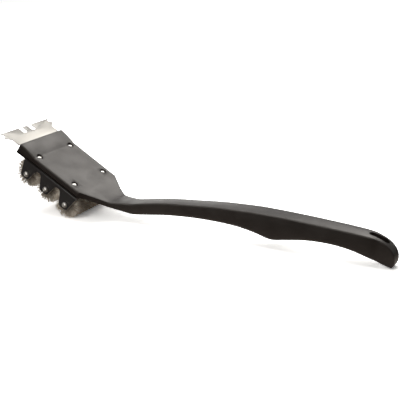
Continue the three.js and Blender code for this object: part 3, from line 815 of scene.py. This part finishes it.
def stem_tree():
    """A pair of twisted wires along the y axis at each point of the seed mesh."""
    inputs = (
        ("Half Length", "Float"),
        ("Wire Radius", "Float"),
        ("Twist Radius", "Float"),
        ("Turns", "Float"),
        ("Material", "Material"),
    )
    tree, get, end = new_geometry_tree("Twisted stems", inputs)
    half = get["Half Length"]

    def moved(geometry, **place):
        inputs = {"Geometry": geometry, **place}
        return add_node(tree, "GeometryNodeTransform", inputs).outputs[0]

    twist = {
        "Resolution": 22,
        "Rotations": get["Turns"],
        "Start Radius": get["Twist Radius"],
        "End Radius": get["Twist Radius"],
        "Height": maths(tree, "MULTIPLY", half, 2.0),
    }
    helix = add_node(tree, "GeometryNodeCurveSpiral", twist).outputs[0]
    low = vector_of(tree, 0.0, 0.0, maths(tree, "MULTIPLY", half, -1.0))
    centred = moved(helix, Translation=low)
    pair = tree.nodes.new("GeometryNodeJoinGeometry")
    for wire in (centred, moved(centred, Rotation=(0.0, 0.0, math.pi))):
        tree.links.new(wire, pair.inputs[0])
    tube = round_wire(tree, pair.outputs[0], get["Wire Radius"], 10, True)
    laid = moved(tube, Rotation=(math.pi / 2, 0.0, 0.0))
    placed = {"Points": get["Geometry"], "Instance": laid}
    spread = add_node(tree, "GeometryNodeInstanceOnPoints", placed).outputs[0]
    return close_tree(tree, spread, get["Material"], end)


def fastener_tree():
    """A copy of one fastener at each point of the seed mesh, turned to the point's aim."""
    inputs = (("Fastener", "Object"), ("Material", "Material"))
    tree, get, end = new_geometry_tree("Fasteners", inputs)
    pattern = add_node(tree, "GeometryNodeObjectInfo", {"Object": get["Fastener"]})
    named = "GeometryNodeInputNamedAttribute"
    aim = add_node(tree, named, {"Name": "aim"}, data_type="FLOAT_VECTOR").outputs[0]
    turn = add_node(tree, "FunctionNodeAlignRotationToVector", {"Vector": aim}, axis="Z")
    placed = {
        "Points": get["Geometry"],
        "Instance": pattern.outputs["Geometry"],
        "Rotation": turn.outputs[0],
    }
    spread = add_node(tree, "GeometryNodeInstanceOnPoints", placed).outputs[0]
    return close_tree(tree, spread, get["Material"], end)


def seed_mesh(name, spots, aims=()):
    """Loose points in metres in the head's frame, with the way each one faces."""
    mesh = bpy.data.meshes.new(name)
    mesh.from_pydata([Vector(p) * MM for p in spots], [], [])
    if aims:
        store = mesh.attributes.new("aim", "FLOAT_VECTOR", "POINT")
        store.data.foreach_set("vector", [c for a in aims for c in a])
    return mesh


def scatter_fasteners(name, profile, spots, aims, material):
    """One round fastener, from its profile, at each spot."""
    pattern = make_object("pattern", lathe("pattern", profile, 36, Matrix.Identity(4)))
    smooth(pattern.data, 38)
    tree = bpy.data.node_groups.get("Fasteners") or fastener_tree()
    values = {"Fastener": pattern, "Material": material}
    obj = run_tree(name, seed_mesh(name + "_seed", spots, aims), tree, values)
    bpy.data.objects.remove(pattern)
    obj.data.transform(HEAD)
    return obj


def roll_centres():
    return [(ROLL_FIRST + i * ROLL_PITCH, 0.0, -ROLL_DROP) for i in range(3)]


# Profiles of the round fasteners: radius, and height along the axis.
CAP_PROFILE = (
    (0, 1.75), (2.2, 1.1), (2.5, 0.0), (3.1, 0.0),
    (3.15, 0.35), (3.08, 0.75), (2.93, 1.15), (2.66, 1.62), (2.28, 2.02), (1.82, 2.32),
    (1.36, 2.52), (1.0, 2.58), (0.78, 2.50), (0.62, 2.36), (0.3, 2.30), (0, 2.29),
)
RIVET_TAIL = ((0, -0.7), (2.2, -0.7), (2.6, -0.55), (2.8, -0.3), (2.8, 0.0), (1.9, 0.0))
RIVET_DOME = (
    (1.9, 0.0), (2.32, 0.0), (2.4, 0.1), (2.36, 0.28), (2.18, 0.48),
    (1.82, 0.7), (1.34, 0.86), (0.76, 0.96), (0, 1.0),
)


# ---------------- settings


def number(label, about, value):
    return bpy.props.FloatProperty(name=label, description=about, default=value)


def metres(label, about, value):
    return bpy.props.FloatProperty(name=label, description=about, default=value, unit="LENGTH")


def tone(label, about, value):
    return bpy.props.FloatVectorProperty(
        name=label, description=about, default=value, subtype="COLOR"
    )


class BrushHandleSettings(bpy.types.PropertyGroup):
    edge_round: metres("Edge rounding", "Radius of the handle's upper edges", 0.0011)
    crown: metres("Crown", "How far the middle of the grip's top stands over its edges", 0.0006)
    dark: tone("Black", "Darkest tone of the moulded black", (0.0088, 0.0058, 0.0044))
    light: tone("Soft black", "Palest tone of the moulded black", (0.0135, 0.0094, 0.0074))


class BrushBristleSettings(bpy.types.PropertyGroup):
    count: bpy.props.IntProperty(
        name="Strands", description="Bristle wires in each roll", default=6400
    )
    wire_radius: metres("Wire radius", "Radius of one bristle wire", 0.0002)
    crimp: metres("Crimp", "How far the waves of a bristle stand to each side", 0.00035)
    lean: number("Lean", "Largest sideways slope of a bristle", 0.28)
    # The dark root tone is painted shade inside the roll; the near-white tip tone is painted light on
    # the tips.
    root: tone("Root tone", "Colour of the bristles near the stem", (0.13, 0.098, 0.07))
    tip: tone("Tip tone", "Colour of the bristles at their tips", (1.0, 0.96, 0.89))


class BrushSteelSettings(bpy.types.PropertyGroup):
    blade: tone("Blade", "Colour of the scraper blade's steel", (0.36, 0.345, 0.32))
    # The cut edge's pale cream is partly a painted highlight on the channel's bare edges.
    edge: tone("Cut edge", "Colour of the bare edges of the coated channel", (0.95, 0.88, 0.77))
    coat: tone("Coat", "Colour of the channel's baked coat", (0.024, 0.022, 0.021))
    bevel: metres("Edge rounding", "Rounding of the channel's edges", 0.00018)


class BrushStageSettings(bpy.types.PropertyGroup):
    floor: tone("Floor", "Colour of the floor", (0.97, 0.97, 0.97))
    lift: number("Floor lift", "How far the viewer sees the floor lifted to white", 0.11)
    bounce: number("Floor bounce", "Share of its colour the floor lights the brush with", 0.75)
    sky: number("Room light", "Strength of the even light round the stage", 0.4)
    softbox: number("Softbox", "Power of the softbox behind the brush", 13.3)
    overhead: number("Overhead", "Power of the softbox over the brush", 16.0)
    wall: number("Lit wall", "Power of the low wide light behind the brush", 3.2)
    front: number("Front", "Power of the light over the viewer's shoulder", 11.0)
    card: number("Low card", "Power of the low card that lights the bristles", 0.8)
    lens: number("Lens", "Focal length of the camera in millimetres", 76.5)


# ---------------- operators


class BRUSH_OT_handle(bpy.types.Operator):
    """Builds the one-piece moulded handle with its head, neck, grip and hang slot"""

    bl_idname = "brush.handle"
    bl_label = "Handle"

    def execute(self, context):
        settings = context.scene.brush_handle
        obj = build_handle(settings)
        tones = (settings.dark, settings.light)
        give(obj, moulded_plastic("black_plastic", *tones, (0.36, 0.46), 2200.0, 0.55))
        keep(obj, "black_plastic", "handle")
        return {"FINISHED"}


class BRUSH_OT_tray(bpy.types.Operator):
    """Builds the moulded tray that closes the head from below"""

    bl_idname = "brush.tray"
    bl_label = "Tray"

    def execute(self, context):
        settings = context.scene.brush_handle
        obj = refined_copy("brush_tray", "tray_moulding", 0.3)
        smooth(obj.data)
        # The tray's black is a darker copy of the handle's black: painted shade for its place under
        # the head.
        dark = [c * 0.4 for c in settings.dark]
        light = [c * 0.45 for c in settings.light]
        give(obj, moulded_plastic("tray_plastic", dark, light, (0.46, 0.58), 1800.0, 0.28))
        keep(obj, "tray_plastic", "brush_tray")
        return {"FINISHED"}


class BRUSH_OT_channel(bpy.types.Operator):
    """Builds the coated steel channel with its lugs and bare cut edges, whose pale matte cream is
    partly a painted highlight
    """

    bl_idname = "brush.channel"
    bl_label = "Channel"

    def execute(self, context):
        steel = context.scene.brush_steel
        obj = refined_copy("roll_bracket", "roll_channel", steel.bevel * PER_METRE)
        coat = coated_steel("coated_steel", steel.coat, (0.34, 0.46))
        # The cut edges are bare steel, but their pale cream is matte rather than metallic: a painted
        # highlight where the edges catch the light.
        dull = [c * 0.8 for c in steel.edge]
        bare = brushed_metal("bare_edge", dull, steel.edge, (0.5, 0.7), 1500.0, metallic=0.0)
        give(obj, coat, bare)
        into_head = HEAD.inverted()
        turn = into_head.to_3x3()
        inner_face, side_on = (CHANNEL_HALF - STEEL + 0.05) * MM, 0.35
        for polygon in obj.data.polygons:
            middle = into_head @ polygon.center
            normal = turn @ polygon.normal
            on_flange = abs(middle.y) > inner_face and middle.z < WEB_FOOT * MM
            polygon.material_index = 1 if on_flange and abs(normal.y) < side_on else 0
        smooth(obj.data)
        keep(obj, "coated_steel", "roll_bracket")
        return {"FINISHED"}


class BRUSH_OT_blade(bpy.types.Operator):
    """Builds the notched scraper blade with its slightly rounded edges"""

    bl_idname = "brush.blade"
    bl_label = "Scraper blade"

    def execute(self, context):
        steel = context.scene.brush_steel
        obj = refined_copy("scraper_blade", "scraper_sheet", 0.12, 50.0)
        smooth(obj.data, 25)
        dark = [c * 0.86 for c in steel.blade]
        give(obj, brushed_metal("blade_steel", dark, steel.blade, (0.36, 0.48), 900.0, math.pi / 2))
        keep(obj, "blade_steel", "scraper_blade")
        return {"FINISHED"}


class BRUSH_OT_bristles(bpy.types.Operator):
    """Builds the three rolls of crimped bristles"""

    bl_idname = "brush.bristles"
    bl_label = "Bristle rolls"

    def execute(self, context):
        settings = context.scene.brush_bristles
        tree = bristle_tree()
        material = bristle_wire("bristle_steel", settings.root, settings.tip)
        count = settings.count
        flange_gap, web_gap = 1.3, 0.4
        for i, (name, centre) in enumerate(zip(ROLLS, roll_centres())):
            values = {
                "Count": count,
                "Half Length": (CHANNEL_HALF - STEEL - flange_gap) * MM,
                "Core Radius": BRISTLE_CORE * MM,
                "Tip Radius": (ROLL_RADIUS + BRISTLE_OVER) * MM,
                "Wire Radius": settings.wire_radius,
                "Crimp": settings.crimp,
                "Lean": settings.lean,
                "Ceiling": (ROLL_DROP + WEB_FOOT - web_gap) * MM,
                "Seed": SEED + 20 * i,
                "Material": material,
            }
            mesh = bpy.data.meshes.new("bristle_seed")
            obj = run_tree(f"bristles_{name}", mesh, tree, values)
            if not len(obj.data.polygons):
                raise RuntimeError("the bristle tree made no strands")
            obj.data.transform(Matrix.Translation(Vector(centre) * MM))
            obj.data.transform(HEAD)
            keep(obj, "bristle_steel", f"bristle_roll_{name}")
        return {"FINISHED"}


class BRUSH_OT_stems(bpy.types.Operator):
    """Builds the twisted wire stem of each roll"""

    bl_idname = "brush.stems"
    bl_label = "Stems"

    def execute(self, context):
        tones = ((0.34, 0.32, 0.29), (0.55, 0.53, 0.50))
        values = {
            "Half Length": STEM_HALF * MM,
            "Wire Radius": STEM_RADIUS * MM,
            "Twist Radius": STEM_TWIST * MM,
            "Turns": 2 * STEM_HALF / STEM_LAY,
            "Material": brushed_metal("wire_steel", *tones, (0.3, 0.45), 1200.0),
        }
        obj = run_tree("stem_wires", seed_mesh("stem_seed", roll_centres()), stem_tree(), values)
        obj.data.transform(HEAD)
        nodes = [f"stem_wire_{name}_{half}" for name in ROLLS for half in "ab"]
        keep(obj, "wire_steel", *nodes)
        return {"FINISHED"}


class BRUSH_OT_caps(bpy.types.Operator):
    """Builds the pressed cap on each end of each stem"""

    bl_idname = "brush.caps"
    bl_label = "End caps"

    def execute(self, context):
        ends = [(x, n, side) for x, _, n in roll_centres() for side in (-1, 1)]
        spots = [(x, side * (CHANNEL_HALF + GAP), n) for x, n, side in ends]
        aims = [(0, side, 0) for _, _, side in ends]
        tones = ((0.44, 0.42, 0.39), (0.62, 0.60, 0.56))
        material = brushed_metal("bright_steel", *tones, (0.34, 0.46), 800.0)
        obj = scatter_fasteners("end_caps", CAP_PROFILE, spots, aims, material)
        nodes = [f"end_cap_{name}_{side}" for name in ROLLS for side in ("left", "right")]
        keep(obj, "bright_steel", *nodes)
        return {"FINISHED"}


class BRUSH_OT_rivets(bpy.types.Operator):
    """Builds the four rivets that hold the head, the blade, the tray and the channel together"""

    bl_idname = "brush.rivets"
    bl_label = "Rivets"

    def execute(self, context):
        seat = -RECESS_DEPTH + GAP
        tail = WEB_FOOT - GAP
        profile = [(r, tail + h) for r, h in RIVET_TAIL] + [(r, seat + h) for r, h in RIVET_DOME]
        spots = [(x, y, 0.0) for x, y in rivet_spots()]
        aims = [(0, 0, 1)] * len(spots)
        tones = ((0.50, 0.48, 0.45), (0.66, 0.64, 0.60))
        material = brushed_metal("rivet_steel", *tones, (0.22, 0.36), 900.0)
        obj = scatter_fasteners("rivets", profile, spots, aims, material)
        nodes = [f"rivet_{row}_{side}" for row in ("front", "rear") for side in ("left", "right")]
        keep(obj, "bright_steel", *nodes)
        return {"FINISHED"}


WARM, WHITE = (1.0, 0.985, 0.95), (1.0, 1.0, 1.0)
# Each light: the setting that holds its power, its place, what it faces, its size and its colour.
LIGHTS = (
    ("softbox", (-0.05, 1.60, 1.45), (-0.13, 0.0, 0.05), (0.8, 1.0), WARM),
    ("overhead", (-0.60, 0.35, 1.55), (-0.10, 0.10, 0.0), (1.3, 1.0), WHITE),
    ("wall", (-1.20, 1.60, 0.45), (-0.08, 0.0, 0.03), (0.8, 0.7), WARM),
    ("front", (-0.30, -1.40, 1.30), (-0.10, 0.0, 0.0), (1.2, 1.0), WARM),
    ("card", (-0.12, -0.42, 0.10), (-0.14, 0.0, 0.01), (0.45, 0.15), WARM),
)
CAMERA_PLACE = (0.5635, -0.6864, 0.3023)  # in the handle's side view
CAMERA_RIGHT = (0.87354, 0.48650, -0.01586)
CAMERA_UP = (-0.14418, 0.28972, 0.94619)
CAMERA_BACK = (0.46492, -0.82424, 0.32323)
FLOOR_HALF, FLOOR_DROP = 9.0, 0.0002


def area_light(name, place, target, size, power, colour):
    data = bpy.data.lights.new(name, "AREA")
    data.shape = "RECTANGLE"
    data.size, data.size_y = size
    data.energy = power
    data.color = colour
    light = bpy.data.objects.new(name, data)
    light.location = place
    light.rotation_euler = (Vector(target) - Vector(place)).to_track_quat("-Z", "Y").to_euler()
    light.visible_camera = False
    bpy.context.scene.collection.objects.link(light)


def studio_world(strength):
    """Even room light, brightest high up behind the brush and dim in front of it."""
    world = bpy.data.worlds.new("studio")
    world.use_nodes = True
    tree = world.node_tree
    around = tree.nodes.new("ShaderNodeTexCoord").outputs["Generated"]
    high_behind = {0: around, 1: (0.0, 0.6, 0.8)}
    facing = add_node(tree, "ShaderNodeVectorMath", high_behind, operation="DOT_PRODUCT")
    shade = value_between(tree, facing.outputs["Value"], strength * 0.12, strength, -0.2, 0.9)
    sky = tree.nodes["Background"]
    set_looks(tree, sky, Color=(1.0, 0.995, 0.985, 1.0), Strength=shade)
    return world


def studio_camera(lens):
    data = bpy.data.cameras.new("camera")
    data.lens = lens
    data.sensor_width = 36.0
    data.clip_end = 60.0
    camera = bpy.data.objects.new("camera", data)
    turn = Matrix((CAMERA_RIGHT, CAMERA_UP, CAMERA_BACK)).transposed().to_4x4()
    camera.matrix_world = Matrix.Translation(SIDE @ Vector(CAMERA_PLACE)) @ turn
    bpy.context.scene.collection.objects.link(camera)
    return camera


class BRUSH_OT_stage(bpy.types.Operator):
    """Builds the floor, the lights and the camera"""

    bl_idname = "brush.stage"
    bl_label = "Stage"

    def execute(self, context):
        settings = context.scene.brush_stage
        scene = context.scene
        corners = ((-1, -1), (1, -1), (1, 1), (-1, 1))
        mesh = bpy.data.meshes.new("floor")
        outline = [(x * FLOOR_HALF, y * FLOOR_HALF, -FLOOR_DROP) for x, y in corners]
        mesh.from_pydata(outline, [], [(0, 1, 2, 3)])
        material = floor_material(list(settings.floor), settings.lift, settings.bounce)
        floor = make_object("floor", mesh)
        give(floor, material)

        scene.world = studio_world(settings.sky)
        for name, place, target, size, colour in LIGHTS:
            area_light(name, place, target, size, getattr(settings, name), colour)
        scene.camera = studio_camera(settings.lens)
        scene.view_settings.view_transform = "Standard"
        return {"FINISHED"}


class BRUSH_PT_pieces(bpy.types.Panel):
    """Lists the pieces of the brush and the values that shape them"""

    bl_idname = "BRUSH_PT_pieces"
    bl_label = "Grill Brush"
    bl_space_type = "VIEW_3D"
    bl_region_type = "UI"
    bl_category = "Brush"

    def draw(self, context):
        layout = self.layout
        for settings, operators in PANEL_ROWS:
            box = layout.box()
            group = getattr(context.scene, settings)
            for key in group.bl_rna.properties.keys():
                if key not in ("rna_type", "name"):
                    box.prop(group, key)
            for operator in operators:
                box.operator(operator)


PANEL_ROWS = (
    ("brush_handle", ("brush.handle", "brush.tray")),
    ("brush_steel", ("brush.channel", "brush.blade", "brush.stems", "brush.caps", "brush.rivets")),
    ("brush_bristles", ("brush.bristles",)),
    ("brush_stage", ("brush.stage",)),
)
SETTINGS = {
    "brush_handle": BrushHandleSettings,
    "brush_steel": BrushSteelSettings,
    "brush_bristles": BrushBristleSettings,
    "brush_stage": BrushStageSettings,
}
OPERATORS = (
    BRUSH_OT_handle,
    BRUSH_OT_tray,
    BRUSH_OT_channel,
    BRUSH_OT_blade,
    BRUSH_OT_bristles,
    BRUSH_OT_stems,
    BRUSH_OT_caps,
    BRUSH_OT_rivets,
    BRUSH_OT_stage,
)


def register():
    for cls in (*SETTINGS.values(), *OPERATORS, BRUSH_PT_pieces):
        bpy.utils.register_class(cls)
    for name, cls in SETTINGS.items():
        setattr(bpy.types.Scene, name, bpy.props.PointerProperty(type=cls))


def unregister():
    for name in SETTINGS:
        delattr(bpy.types.Scene, name)
    for cls in (BRUSH_PT_pieces, *reversed(OPERATORS), *reversed(list(SETTINGS.values()))):
        bpy.utils.unregister_class(cls)


def main():
    register()
    for cls in OPERATORS:
        family, name = cls.bl_idname.split(".")
        getattr(getattr(bpy.ops, family), name)()


if __name__ == "__main__":
    main()
